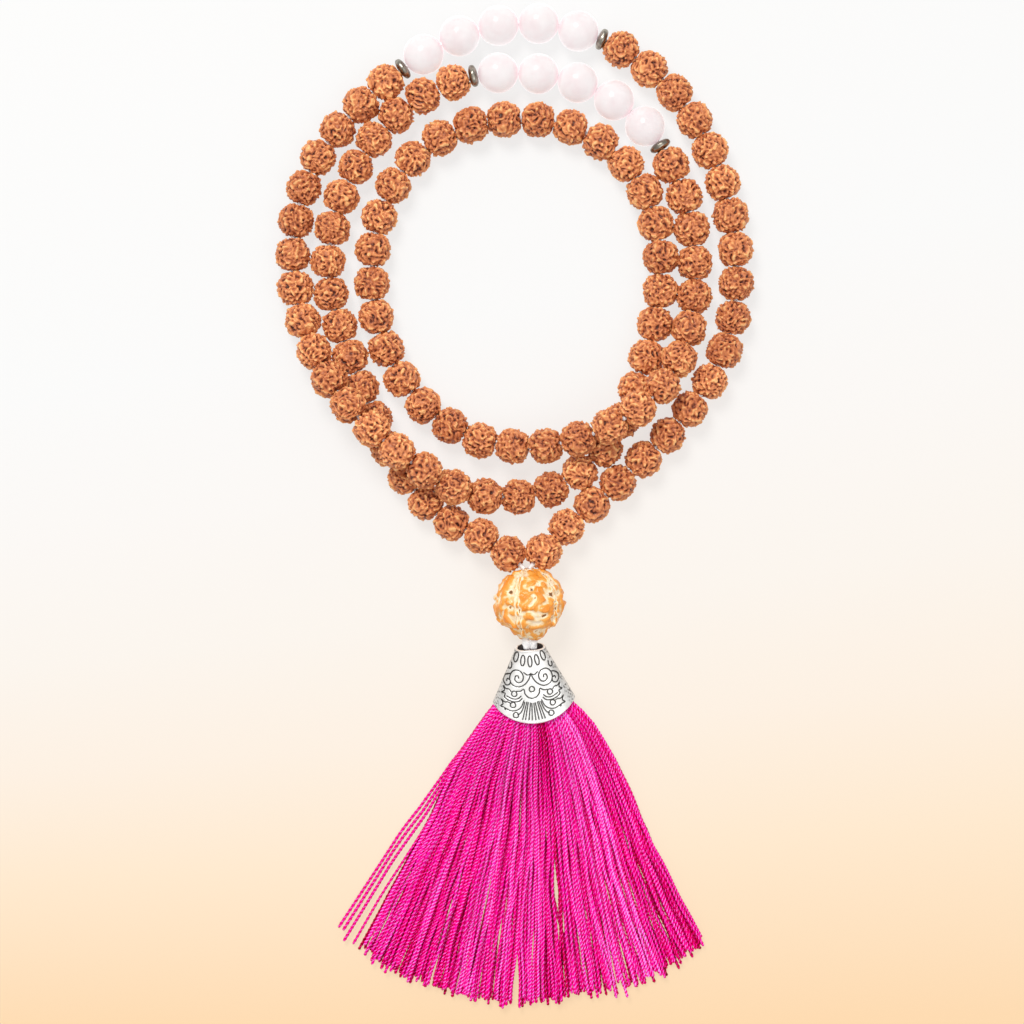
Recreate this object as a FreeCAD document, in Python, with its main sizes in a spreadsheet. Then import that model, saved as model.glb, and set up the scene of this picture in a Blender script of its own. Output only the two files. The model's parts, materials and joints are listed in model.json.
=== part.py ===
import FreeCAD, Part

import math
import os

import Sketcher
from FreeCAD import Matrix, Placement, Rotation, Vector

# A mala: one closed cord through 108 beads, laid on a table in three rings that cross each other,
# with a large guru bead, a flattened metal cap and a tassel of twisted threads.
# Millimetres. +Z is up, the tassel points towards -Y, and the origin is on the table under the
# middle of the whole mala. The beads are numbered from the guru bead along the cord.

DIMENSIONS = {
    "seed_diameter": 8.45,  # rudraksha seed across its equator
    "seed_length_near": 8.1,  # pole to pole, the 19 seeds right of the guru bead
    "seed_length_middle": 8.0,  # the 60 seeds between the two quartz groups
    "seed_length_far": 7.8,  # the 19 seeds left of the guru bead
    "seed_groove_depth": 0.3,
    "seed_groove_radius": 0.42,
    "quartz_diameter": 10.0,
    "quartz_length": 9.65,
    "spacer_diameter": 5.6,
    "spacer_length": 1.9,
    "bore_diameter": 2.3,
    "cord_diameter": 1.1,
    "guru_diameter": 17.5,
    "guru_length": 17.4,
    "guru_bore_diameter": 3.2,
    "guru_mouth_diameter": 5.0,  # the bore flares where the two ends of the strand go in
    "guru_mouth_depth": 0.9,
    "guru_play": 0.9,  # bare cord between the guru bead and the seed on each side of it
    "guru_groove_depth": 0.7,
    "guru_groove_radius": 0.9,
    "knot_width": 3.2,
    "knot_length": 1.5,
    "neck_gap": 1.7,  # between the guru bead and the cap, with the knot in its middle
    "cap_length": 18.95,
    "cap_wall": 0.8,
    "cap_neck_half_width": 3.3,
    "cap_neck_half_depth": 2.5,
    "cap_mouth_half_width": 12.8,  # where the cap's sides would meet the end of its length
    "cap_mouth_half_depth": 5.2,
    "cap_rim_radius": 13.3,  # the rim is an arc across the cap's width
    "cap_hole_radius": 1.6,
    "head_start": 2.3,  # along the cap from its neck
    "head_length": 9.4,
    "head_neck_half_width": 2.1,
    "head_neck_half_depth": 1.5,
    "head_end_half_width": 7.6,
    "head_end_half_depth": 2.8,
    "tie_start": 1.0,  # along the head from its neck
    "tie_length": 1.2,
    "tie_thickness": 0.35,
    "lock_length": 72.5,
    "lock_neck_half_width": 0.85,
    "lock_neck_half_depth": 2.1,
    "lock_half_width": 6.2,
    "lock_half_depth": 2.3,
    "lock_tip_length": 7.0,
}

SEEDS_BESIDE_GURU = 19
QUARTZ_IN_GROUP = 5
SEEDS_IN_MIDDLE = 60
FREE_SEEDS = 7  # single seeds on each side of the guru bead
SEEDS_IN_NODE = 6
SEED_GROOVES = 5
SPIN_STEP = 137.5  # degrees from one bead's turn about the cord to the next one's

# The cord's route from the guru bead's right side round to its left side: a hand-laid line through
# the beads. Its corners are rounded by arcs, so the cord passes inside them.
CORD_ROUTE = [
    (3.75, -14.85, 8.75),
    (12, -5, 5.4),
    (25, 5.5, 4.2),
    (40.5, 20, 4.5),
    (53.5, 38, 4.3),
    (56.5, 60, 4.3),
    (52.5, 83, 4.3),
    (42.5, 103, 4.3),
    (26, 116.5, 4.6),
    (5.5, 122.5, 5.5),
    (-15.5, 118.5, 5.5),
    (-35, 105, 4.4),
    (-51, 87, 4.4),
    (-56.5, 65, 4.2),
    (-52.5, 43.5, 4.7),
    (-42.5, 26.5, 11.4),
    (-28.5, 13.5, 13.8),
    (-12, 3, 7.5),
    (7, 2.5, 4.3),
    (23.5, 14, 4.3),
    (33.5, 36.5, 4.3),
    (38, 61.5, 4.4),
    (32.5, 83, 4.3),
    (17, 96, 4.3),
    (-4, 98.5, 4.3),
    (-23.5, 91.5, 4.3),
    (-35, 73.5, 4.3),
    (-36, 49, 4.3),
    (-26.5, 28, 4.3),
    (-9.5, 16, 4.2),
    (10, 15, 8.3),
    (27.5, 21.5, 13.7),
    (40.5, 33.5, 9.4),
    (46, 53.5, 4.2),
    (44, 77.5, 4.3),
    (32.5, 98, 5.2),
    (13.5, 108.5, 5.3),
    (-9, 109.5, 5.0),
    (-28.5, 101, 4.3),
    (-42.5, 82.5, 4.3),
    (-48, 60, 4.3),
    (-40.5, 36, 4.3),
    (-30.5, 12, 4.3),
    (-18.5, -3, 4.3),
    (-4.5, -8, 6.9),
    (2.55, -14.9, 8.75),
]
ARC_SHARE = 0.45  # of the shorter of two runs, taken by the arc that joins them
CORD_INSIDE_GURU = 0.3  # how far each end of the route is inside the guru bead
CORDS_SHORT_OF_KNOT = 0.12  # from the doubled cord's end to the guru bead's end, inside the bore

GURU_CENTRE = Vector(3.75, -23.25, 8.75)
GURU_LEAN = 1.0  # degrees that the guru bead's bore leans to the right of -Y
TASSEL_LEAN = 4.1
CAP_TILT = 9.5  # degrees that the cap points down
LOCKS = 7
LOCK_FAN_AT_MOUTH = (-12.0, 20.0)  # degrees right of -Y, the first and last lock's near end
LOCK_FAN_AT_TIPS = (-24.8, 24.8)
FAN_APEX_BELOW_GURU = 4.5  # from the guru bead's centre to where the locks' lines would meet
TIP_RADIUS_AT_SIDES = 91.5  # from the fan's apex
TIP_RADIUS_IN_MIDDLE = 97.5
LOCK_HEIGHT_AT_MOUTH = 6.0
LOCK_HEIGHT_AT_TIPS = 2.45
TAIL_CORDS_APART = 1.2
TAIL_CORDS_START = 0.5  # along the cap from its neck

os.makedirs("parts", exist_ok=True)
doc = FreeCAD.newDocument("mala")
sheet = doc.addObject("Spreadsheet::Sheet", "Dimensions")
for row, (alias, value) in enumerate(DIMENSIONS.items(), start=1):
    sheet.set(f"A{row}", alias)
    sheet.set(f"B{row}", str(value))
    sheet.setAlias(f"B{row}", alias)
doc.recompute()


def size(alias):
    """A driving dimension, read from the sheet."""
    return float(sheet.get(alias))


def plane(body, role):
    """One of a body's own origin planes or axes."""
    return next(o for o in body.Origin.OriginFeatures if o.Role == role)


def sketch_on(body, name, role):
    sketch = body.newObject("Sketcher::SketchObject", name)
    sketch.AttachmentSupport = [(plane(body, role), "")]
    sketch.MapMode = "FlatFace"
    return sketch


def bind(sketch, constraint, expression):
    """Adds a constraint whose size is an expression."""
    sketch.setExpression(f"Constraints[{sketch.addConstraint(constraint)}]", expression)


def turned_bead(name, diameter, length, bore):
    """A bead turned about its bore, local Z. The three sizes are names in the sheet."""
    body = doc.addObject("PartDesign::Body", name)
    r, half, hole = size(diameter) / 2, size(length) / 2, size(bore) / 2
    centre = (r**2 - hole**2 - half**2) / (2 * (r - hole))
    side = math.atan2(half, hole - centre)
    profile = sketch_on(body, name + "_profile", "XZ_Plane")
    circle = Part.Circle(Vector(centre, 0, 0), Vector(0, 0, 1), r - centre)
    profile.addGeometry(Part.ArcOfCircle(circle, -side, side))
    profile.addGeometry(Part.LineSegment(Vector(hole, half, 0), Vector(hole, -half, 0)))
    r, half, hole = (f"<<Dimensions>>.{alias} / 2" for alias in (diameter, length, bore))
    centre = f"(({r})^2 - ({hole})^2 - ({half})^2) / (2 * ({r} - {hole}))"
    profile.addConstraint(Sketcher.Constraint("Coincident", 0, 2, 1, 1))
    profile.addConstraint(Sketcher.Constraint("Coincident", 0, 1, 1, 2))
    profile.addConstraint(Sketcher.Constraint("Vertical", 1))
    profile.addConstraint(Sketcher.Constraint("PointOnObject", 0, 3, -1))
    bind(profile, Sketcher.Constraint("DistanceX", -1, 1, 1, 1, size(bore) / 2), hole)
    bind(profile, Sketcher.Constraint("Radius", 0, circle.Radius), f"{r} - {centre}")
    bind(profile, Sketcher.Constraint("DistanceX", -1, 1, 0, 3, circle.Center.x), centre)
    turned = body.newObject("PartDesign::Revolution", name + "_turned")
    turned.Profile = profile
    turned.ReferenceAxis = (profile, ["V_Axis"])
    turned.Angle = 360
    profile.Visibility = False
    return body


def cut_grooves(body, diameter, length, depth, radius):
    """Five grooves from pole to pole, as a rudraksha seed has between its faces."""
    name = body.Name
    out = (size(diameter) + size(length)) / 4 + size(radius) - size(depth)
    section = sketch_on(body, name + "_groove_section", "YZ_Plane")
    section.addGeometry(Part.Circle(Vector(0, out, 0), Vector(0, 0, 1), size(radius)))
    section.addConstraint(Sketcher.Constraint("PointOnObject", 0, 3, -2))
    bind(
        section,
        Sketcher.Constraint("DistanceY", -1, 1, 0, 3, out),
        f"(<<Dimensions>>.{diameter} + <<Dimensions>>.{length}) / 4"
        f" + <<Dimensions>>.{radius} - <<Dimensions>>.{depth}",
    )
    bind(section, Sketcher.Constraint("Radius", 0, size(radius)), f"<<Dimensions>>.{radius}")
    groove = body.newObject("PartDesign::Groove", name + "_groove")
    groove.Profile = section
    groove.ReferenceAxis = (section, ["H_Axis"])
    groove.Angle = 180
    doc.recompute()
    around = body.newObject("PartDesign::PolarPattern", name + "_grooves")
    around.Originals = [groove]
    around.Axis = (plane(body, "Z_Axis"), [""])
    around.Angle = 360
    around.Occurrences = SEED_GROOVES
    body.Tip = around
    return body


def flare_bore(body, length, bore, mouth, depth):
    """A cone that widens the bore at the end on the -Z side."""
    name = body.Name
    half, hole, wide = size(length) / 2, size(bore) / 2, size(mouth) / 2
    corners = [(hole, -half), (wide, -half), (hole, size(depth) - half)]
    section = sketch_on(body, name + "_mouth_section", "XZ_Plane")
    for start, end in zip(corners, corners[1:] + corners[:1]):
        section.addGeometry(Part.LineSegment(Vector(*start, 0), Vector(*end, 0)))
    for side in range(3):
        section.addConstraint(Sketcher.Constraint("Coincident", side, 2, (side + 1) % 3, 1))
    section.addConstraint(Sketcher.Constraint("Horizontal", 0))
    section.addConstraint(Sketcher.Constraint("Vertical", 2))
    half_of = "<<Dimensions>>.{} / 2".format
    bind(section, Sketcher.Constraint("DistanceX", -1, 1, 0, 1, hole), half_of(bore))
    bind(section, Sketcher.Constraint("DistanceX", -1, 1, 0, 2, wide), half_of(mouth))
    bind(section, Sketcher.Constraint("DistanceY", 0, 1, -1, 1, half), half_of(length))
    bind(section, Sketcher.Constraint("DistanceY", 2, 2, 2, 1, size(depth)), f"<<Dimensions>>.{depth}")
    flare = body.newObject("PartDesign::Groove", name + "_mouth")
    flare.Profile = section
    flare.ReferenceAxis = (section, ["V_Axis"])
    flare.Angle = 360
    section.Visibility = False
    body.Tip = flare


def copy_of(body, label, place):
    """A bead like the master body, at its own place."""
    bead = doc.addObject("PartDesign::Body", label)
    base = doc.addObject("PartDesign::FeatureBase", label + "_form")
    base.BaseFeature = body
    bead.Group = [base]
    bead.Tip = base
    bead.Label = label
    bead.Placement = place
    return bead


def rounded_route(points):
    """Straight runs joined by tangent arcs, as edges in order, and the arcs' radii."""
    points = [Vector(*p) for p in points]
    edges, radii, start = [], [], points[0]
    for before, corner, after in zip(points, points[1:], points[2:]):
        back, on = (before - corner).normalize(), (after - corner).normalize()
        turn = math.pi - back.getAngle(on)
        reach = ARC_SHARE * min((before - corner).Length, (after - corner).Length)
        radius = reach / math.tan(turn / 2)
        inwards = (back + on).normalize()
        middle = corner + inwards * (radius / math.cos(turn / 2) - radius)
        edges.append(Part.LineSegment(start, corner + back * reach).toShape())
        edges.append(Part.Arc(corner + back * reach, middle, corner + on * reach).toShape())
        radii.append(radius)
        start = corner + on * reach
    edges.append(Part.LineSegment(start, points[-1]).toShape())
    return edges, radii


def point_along(edges, distance):
    """The point of the route at a distance from its start."""
    for edge in edges:
        if distance <= edge.Length:
            return edge.valueAt(edge.getParameterByLength(distance))
        distance -= edge.Length
    return edges[-1].valueAt(edges[-1].LastParameter)


def turned_to(direction, across):
    """The rotation that takes local Z to direction and local X to across, as nearly as it can."""
    z = Vector(direction).normalize()
    y = z.cross(across).normalize()
    x = y.cross(z)
    return Rotation(Matrix(x.x, y.x, z.x, 0, x.y, y.y, z.y, 0, x.z, y.z, z.z, 0, 0, 0, 0, 1))


def bead_places(edges, lengths, at, play):
    """A Placement for each bead along the route, its bore along the cord's chord through it."""
    places = []
    for number, length in enumerate(lengths):
        near, middle, far = (point_along(edges, at + share * length) for share in (0, 0.5, 1))
        centre = (near + far) * 0.25 + middle * 0.5
        spin = Rotation(Vector(0, 0, 1), SPIN_STEP * number)
        places.append(Placement(centre, turned_to(far - near, Vector(0, 0, 1)) * spin))
        at += length + play
    return places


def ellipse_at(name, half_width, half_depth, along):
    """An ellipse across local Z, its sizes given as expressions."""
    ellipse = doc.addObject("Part::Ellipse", name)
    ellipse.setExpression("MajorRadius", half_width)
    ellipse.setExpression("MinorRadius", half_depth)
    ellipse.setExpression("Placement.Base.z", along)
    return ellipse


def ellipse_across(name, half_width, half_depth, along):
    """An ellipse across local Z whose long way is local Y, for a section that is deeper than wide."""
    ellipse = ellipse_at(name, half_depth, half_width, along)
    ellipse.Placement.Rotation = Rotation(Vector(0, 0, 1), 90)
    return ellipse


def loft(name, sections):
    solid = doc.addObject("Part::Loft", name)
    solid.Sections = sections
    solid.Solid = True
    solid.Ruled = True
    return solid


def boolean(kind, name, base, tool):
    result = doc.addObject(kind, name)
    result.Base = base
    result.Tool = tool
    return result


def make_cap():
    """A flattened cone, open at its mouth, with a hole in its neck and a rim curved like an arc."""
    d = "<<Dimensions>>."
    widen = f"({d}cap_mouth_half_width - {d}cap_neck_half_width) / {d}cap_length"
    deepen = f"({d}cap_mouth_half_depth - {d}cap_neck_half_depth) / {d}cap_length"
    outside = loft(
        "cap_outside",
        [
            ellipse_at("cap_neck", f"{d}cap_neck_half_width", f"{d}cap_neck_half_depth", "0"),
            ellipse_at(
                "cap_mouth", f"{d}cap_mouth_half_width", f"{d}cap_mouth_half_depth", f"{d}cap_length"
            ),
        ],
    )
    inside = loft(
        "cap_inside",
        [
            ellipse_at(
                "cavity_start",
                f"{d}cap_neck_half_width - {d}cap_wall + {widen} * {d}cap_wall",
                f"{d}cap_neck_half_depth - {d}cap_wall + {deepen} * {d}cap_wall",
                f"{d}cap_wall",
            ),
            ellipse_at(
                "cavity_end",
                f"{d}cap_mouth_half_width - {d}cap_wall + {widen}",
                f"{d}cap_mouth_half_depth - {d}cap_wall + {deepen}",
                f"{d}cap_length + 1",
            ),
        ],
    )
    hole = doc.addObject("Part::Cylinder", "cap_hole")
    hole.setExpression("Radius", f"{d}cap_hole_radius")
    hole.setExpression("Height", f"{d}cap_wall * 3")
    hole.setExpression("Placement.Base.z", f"-{d}cap_wall")
    hollow = boolean("Part::Fuse", "cap_hollow", inside, hole)
    shell = boolean("Part::Cut", "cap_shell", outside, hollow)
    rim = doc.addObject("Part::Cylinder", "cap_rim_round")
    rim.setExpression("Radius", f"{d}cap_rim_radius")
    rim.setExpression("Height", f"{d}cap_mouth_half_depth * 2 + 2")
    rim.setExpression("Placement.Base.y", f"{d}cap_mouth_half_depth + 1")
    rim.setExpression("Placement.Base.z", f"{d}cap_length - {d}cap_rim_radius")
    rim.Placement.Rotation = Rotation(Vector(1, 0, 0), 90)
    return boolean("Part::Common", "tassel_cap", shell, rim)


def make_head():
    """The folded threads inside the cap, as one flattened cone."""
    d = "<<Dimensions>>."
    return loft(
        "tassel_head",
        [
            ellipse_at(
                "head_neck", f"{d}head_neck_half_width", f"{d}head_neck_half_depth", f"{d}head_start"
            ),
            ellipse_at(
                "head_end",
                f"{d}head_end_half_width",
                f"{d}head_end_half_depth",
                f"{d}head_start + {d}head_length",
            ),
        ],
    )


def make_tie():
    """The thread wound round the head, as one band that follows the head's flare."""
    d = "<<Dimensions>>."
    widen = f"({d}head_end_half_width - {d}head_neck_half_width) / {d}head_length"
    deepen = f"({d}head_end_half_depth - {d}head_neck_half_depth) / {d}head_length"

    def band(name, grow):
        ends = []
        for end, along in (("near", f"{d}tie_start"), ("far", f"({d}tie_start + {d}tie_length)")):
            ends.append(
                ellipse_at(
                    f"{name}_{end}",
                    f"{d}head_neck_half_width + {widen} * {along} + {grow}",
                    f"{d}head_neck_half_depth + {deepen} * {along} + {grow}",
                    f"{d}head_start + {along}",
                )
            )
        return loft(name, ends)

    outside = band("tie_outside", f"{d}tie_thickness")
    return boolean("Part::Cut", "tassel_tie", outside, band("tie_inside", "0"))


def make_lock():
    """One lock of threads, from the cap's mouth to its tips along local Z."""
    d = "<<Dimensions>>."
    return loft(
        "lock_form",
        [
            ellipse_across("lock_neck", f"{d}lock_neck_half_width", f"{d}lock_neck_half_depth", "0"),
            ellipse_at(
                "lock_wide",
                f"{d}lock_half_width",
                f"{d}lock_half_depth",
                f"{d}lock_length - {d}lock_tip_length",
            ),
            ellipse_at(
                "lock_tip", f"{d}lock_half_width * 0.85", f"{d}lock_half_depth * 0.6", f"{d}lock_length"
            ),
        ],
    )


def make_cord(edges):
    """The stringing cord: a round section swept along the route."""
    path = doc.addObject("Part::Feature", "cord_path")
    path.Shape = Part.Wire(edges)
    section = doc.addObject("Part::Circle", "cord_section")
    section.setExpression("Radius", "<<Dimensions>>.cord_diameter / 2")
    start = edges[0]
    along = start.tangentAt(start.FirstParameter)
    section.Placement = Placement(start.valueAt(start.FirstParameter), turned_to(along, Vector(0, 0, 1)))
    cord = doc.addObject("Part::Sweep", "stringing_cord")
    cord.Sections = [section]
    cord.Spine = (path, [f"Edge{n}" for n in range(1, len(edges) + 1)])
    cord.Solid = True
    cord.Frenet = False
    return cord


def cord_pair(label, offsets, along, length):
    """Two straight strands side by side, along local Z."""
    strands = []
    for name, offset in zip(("right", "left"), offsets):
        strand = doc.addObject("Part::Cylinder", f"{label}_{name}")
        strand.setExpression("Radius", "<<Dimensions>>.cord_diameter / 2")
        strand.Height = length
        strand.Placement.Base = Vector(offset, 0, along)
        strands.append(strand)
    pair = doc.addObject("Part::Compound", label)
    pair.Links = strands
    return pair


def strand_beads(edges):
    """Every bead but the guru: a list of (label, [objects]) in the cord's order."""
    near_seed = cut_grooves(
        turned_bead("near_seed_form", "seed_diameter", "seed_length_near", "bore_diameter"),
        "seed_diameter", "seed_length_near", "seed_groove_depth", "seed_groove_radius",
    )
    middle_seed = cut_grooves(
        turned_bead("middle_seed_form", "seed_diameter", "seed_length_middle", "bore_diameter"),
        "seed_diameter", "seed_length_middle", "seed_groove_depth", "seed_groove_radius",
    )
    far_seed = cut_grooves(
        turned_bead("far_seed_form", "seed_diameter", "seed_length_far", "bore_diameter"),
        "seed_diameter", "seed_length_far", "seed_groove_depth", "seed_groove_radius",
    )
    quartz = turned_bead("quartz_form", "quartz_diameter", "quartz_length", "bore_diameter")
    spacer = turned_bead("spacer_form", "spacer_diameter", "spacer_length", "bore_diameter")
    doc.recompute()

    quartz_group = [(spacer, "spacer_length")]
    quartz_group += [(quartz, "quartz_length")] * QUARTZ_IN_GROUP
    quartz_group += [(spacer, "spacer_length")]
    strung = [(near_seed, "seed_length_near")] * SEEDS_BESIDE_GURU
    strung += quartz_group
    strung += [(middle_seed, "seed_length_middle")] * SEEDS_IN_MIDDLE
    strung += quartz_group
    strung += [(far_seed, "seed_length_far")] * SEEDS_BESIDE_GURU

    lengths = [size(alias) for _, alias in strung]
    route_length = sum(edge.Length for edge in edges)
    beside_guru = CORD_INSIDE_GURU + size("guru_play")
    play = (route_length - 2 * beside_guru - sum(lengths)) / (len(strung) + 1)
    print(f"cord route {route_length:.1f} mm, play between beads {play:.3f} mm")
    places = bead_places(edges, lengths, beside_guru + play, play)

    nodes, group = [], []
    seed = quartz_number = spacer_number = 0
    seeds = 2 * SEEDS_BESIDE_GURU + SEEDS_IN_MIDDLE
    for (form, _), place in zip(strung, places):
        if form is quartz:
            quartz_number += 1
            label = f"quartz_bead_{quartz_number:02d}"
            nodes.append((label, [copy_of(form, label, place)]))
        elif form is spacer:
            spacer_number += 1
            label = f"spacer_{spacer_number}"
            nodes.append((label, [copy_of(form, label, place)]))
        else:
            seed += 1
            label = f"seed_{seed:02d}"
            if seed <= FREE_SEEDS or seed > seeds - FREE_SEEDS:
                nodes.append((label, [copy_of(form, label, place)]))
                continue
            group.append(copy_of(form, label, place))
            if len(group) == SEEDS_IN_NODE:
                nodes.append((f"seeds_{seed - SEEDS_IN_NODE + 1:02d}_to_{seed:02d}", group))
                group = []
    return nodes


def flat_way(degrees_right):
    """A level direction, given as degrees to the right of -Y."""
    return Vector(math.sin(math.radians(degrees_right)), -math.cos(math.radians(degrees_right)), 0)


def lock_places(apex):
    """Each lock runs from the cap's mouth to its own place on the curve of the tips."""
    places = []
    for number in range(LOCKS):
        share = number / (LOCKS - 1)
        near_way = flat_way(LOCK_FAN_AT_MOUTH[0] + share * (LOCK_FAN_AT_MOUTH[1] - LOCK_FAN_AT_MOUTH[0]))
        tip_way = flat_way(LOCK_FAN_AT_TIPS[0] + share * (LOCK_FAN_AT_TIPS[1] - LOCK_FAN_AT_TIPS[0]))
        middle = 1 - (2 * share - 1) ** 2
        radius = TIP_RADIUS_AT_SIDES + middle * (TIP_RADIUS_IN_MIDDLE - TIP_RADIUS_AT_SIDES)
        tip = apex + tip_way * radius
        tip.z = LOCK_HEIGHT_AT_TIPS
        near = apex + near_way * (radius - size("lock_length"))
        near.z = LOCK_HEIGHT_AT_MOUTH
        along = (tip - near).normalize()
        places.append(Placement(tip - along * size("lock_length"), turned_to(along, Vector(1, 0, 0))))
    return places


guru_way, tassel_way = flat_way(GURU_LEAN), flat_way(TASSEL_LEAN)
guru_across, tassel_across = (Vector(0, 0, 1).cross(way) for way in (guru_way, tassel_way))
tilt = math.radians(CAP_TILT)
cap_way = tassel_way * math.cos(tilt) - Vector(0, 0, math.sin(tilt))
pivot = GURU_CENTRE + guru_way * ((size("guru_length") + size("neck_gap")) / 2)
neck = pivot + cap_way * (size("neck_gap") / 2)
cap_place = Placement(neck, turned_to(cap_way, tassel_across))
guru_place = Placement(GURU_CENTRE, turned_to(guru_way, guru_across))

edges, radii = rounded_route(CORD_ROUTE)
nodes = strand_beads(edges)

guru_form = turned_bead("guru_form", "guru_diameter", "guru_length", "guru_bore_diameter")
cut_grooves(guru_form, "guru_diameter", "guru_length", "guru_groove_depth", "guru_groove_radius")
flare_bore(guru_form, "guru_length", "guru_bore_diameter", "guru_mouth_diameter", "guru_mouth_depth")
doc.recompute()
nodes.append(("guru_bead", [copy_of(guru_form, "guru_bead", guru_place)]))

cord = make_cord(edges)
ends = [guru_place.inverse().multVec(Vector(*CORD_ROUTE[k])) for k in (0, -1)]
in_guru = cord_pair(
    "guru_cord_pair",
    [end.x for end in ends],
    min(end.z for end in ends),
    size("guru_length") / 2 - CORDS_SHORT_OF_KNOT - min(end.z for end in ends),
)
in_guru.Placement = guru_place
knot = doc.addObject("Part::Ellipsoid", "tail_knot")
knot.setExpression("Radius1", "<<Dimensions>>.knot_length / 2")
knot.setExpression("Radius2", "<<Dimensions>>.knot_width / 2")
knot.setExpression("Radius3", "<<Dimensions>>.knot_width / 2")
knot.Placement = Placement(pivot, turned_to(guru_way, guru_across))
in_cap = cord_pair(
    "tail_cord_pair",
    [TAIL_CORDS_APART / 2, -TAIL_CORDS_APART / 2],
    TAIL_CORDS_START,
    size("head_start") - TAIL_CORDS_START,
)
pieces = [make_cap(), make_head(), make_tie(), in_cap]
for piece in pieces:
    piece.Placement = cap_place
nodes += [(piece.Name, [piece]) for piece in [cord, in_guru, knot, *pieces]]

lock_form = make_lock()
doc.recompute()
fan_apex = GURU_CENTRE + tassel_way * FAN_APEX_BELOW_GURU
for number, place in enumerate(lock_places(fan_apex), start=1):
    nodes.append((f"tassel_lock_{number}", [copy_of(lock_form, f"tassel_lock_{number}", place)]))

subparts = []
for label, pieces in nodes:
    if len(pieces) == 1:
        pieces[0].Label = label
        subparts.append(pieces[0])
    else:
        group = doc.addObject("Part::Compound", label)
        group.Links = pieces
        subparts.append(group)
doc.recompute()

for item in doc.Objects:
    if "Invalid" in item.State or "Error" in item.State:
        raise RuntimeError(f"{item.Label} did not compute: {item.State}")
for piece in subparts:
    if piece.Shape.isNull() or not piece.Shape.isValid():
        raise RuntimeError(f"{piece.Label} has no valid shape")
drawn = sum(edge.Length for edge in edges) * math.pi * (size("cord_diameter") / 2) ** 2
print(f"cord volume {cord.Shape.Volume:.1f} mm3, section times length {drawn:.1f} mm3")
print("cord arc radii, mm:", ", ".join(f"{radius:.1f}" for radius in radii))
for piece in subparts:
    piece.Shape.exportStep(f"parts/{piece.Label}.step")
whole = Part.makeCompound([piece.Shape for piece in subparts]).BoundBox
print(f"{len(subparts)} sub-parts, box {whole}")
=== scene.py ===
import json
import math

import bmesh
import bpy
import numpy as np
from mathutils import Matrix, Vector

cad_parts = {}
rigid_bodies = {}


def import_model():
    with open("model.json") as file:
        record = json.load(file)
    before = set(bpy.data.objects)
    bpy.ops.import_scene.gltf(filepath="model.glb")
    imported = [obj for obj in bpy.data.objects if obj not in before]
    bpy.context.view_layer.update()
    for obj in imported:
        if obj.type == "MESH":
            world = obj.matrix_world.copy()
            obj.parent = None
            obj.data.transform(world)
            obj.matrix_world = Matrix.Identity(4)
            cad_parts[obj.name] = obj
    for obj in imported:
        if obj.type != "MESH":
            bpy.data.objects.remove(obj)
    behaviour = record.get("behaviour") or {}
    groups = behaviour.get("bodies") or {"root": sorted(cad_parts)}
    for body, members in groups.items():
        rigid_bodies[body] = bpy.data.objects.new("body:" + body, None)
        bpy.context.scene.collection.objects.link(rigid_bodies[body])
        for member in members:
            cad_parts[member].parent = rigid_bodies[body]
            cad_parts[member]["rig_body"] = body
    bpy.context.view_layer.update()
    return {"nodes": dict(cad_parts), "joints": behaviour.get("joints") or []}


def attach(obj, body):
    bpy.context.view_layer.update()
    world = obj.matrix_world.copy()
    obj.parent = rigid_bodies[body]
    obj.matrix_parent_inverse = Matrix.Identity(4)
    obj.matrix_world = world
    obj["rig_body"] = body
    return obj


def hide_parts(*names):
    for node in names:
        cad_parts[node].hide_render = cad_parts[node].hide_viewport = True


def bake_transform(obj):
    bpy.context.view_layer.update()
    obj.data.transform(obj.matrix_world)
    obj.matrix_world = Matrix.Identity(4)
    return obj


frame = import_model()

MM = 0.001
NODES = frame["nodes"]
JOINTS = {joint["name"]: joint for joint in frame["joints"]}
rng = np.random.default_rng(108)

# ---------------------------------------------------------------- camera, light and floor

VIEW_CENTRE = (-0.0005, -0.00075)
CAMERA_HEIGHT = 0.600
VIEW_WIDTH = 0.256  # what the picture shows at the height of the seeds' centres
SEED_HEIGHT = 0.0043


def make_camera():
    data = bpy.data.cameras.new("camera")
    camera = bpy.data.objects.new("camera", data)
    bpy.context.scene.collection.objects.link(camera)
    camera.location = (*VIEW_CENTRE, CAMERA_HEIGHT)
    data.lens = data.sensor_width * (CAMERA_HEIGHT - SEED_HEIGHT) / VIEW_WIDTH
    data.clip_start = 0.01
    data.clip_end = 10.0
    bpy.context.scene.camera = camera


def area_light(name, place, aim, size, power, colour):
    data = bpy.data.lights.new(name, "AREA")
    data.shape = "DISK"
    data.size = size
    data.energy = power
    data.color = colour
    lamp = bpy.data.objects.new(name, data)
    bpy.context.scene.collection.objects.link(lamp)
    lamp.location = place
    lamp.rotation_euler = (Vector(aim) - Vector(place)).to_track_quat("-Z", "Y").to_euler()


def make_light():
    world = bpy.data.worlds.new("studio")
    world.use_nodes = True
    background = world.node_tree.nodes["Background"]
    background.inputs["Color"].default_value = (1.0, 0.99, 0.98, 1)
    background.inputs["Strength"].default_value = 0.52
    bpy.context.scene.world = world
    area_light("key", (-0.25, 0.55, 0.9), (0, 0, 0), 0.45, 7.5, (1.0, 0.985, 0.97))
    area_light("fill", (0.4, -0.3, 1.0), (0, 0, 0), 0.9, 2.6, (1.0, 0.98, 0.96))
    bpy.context.scene.view_settings.view_transform = "Standard"
    bpy.context.scene.view_settings.look = "None"


# ---------------------------------------------------------------- material helpers


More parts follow.
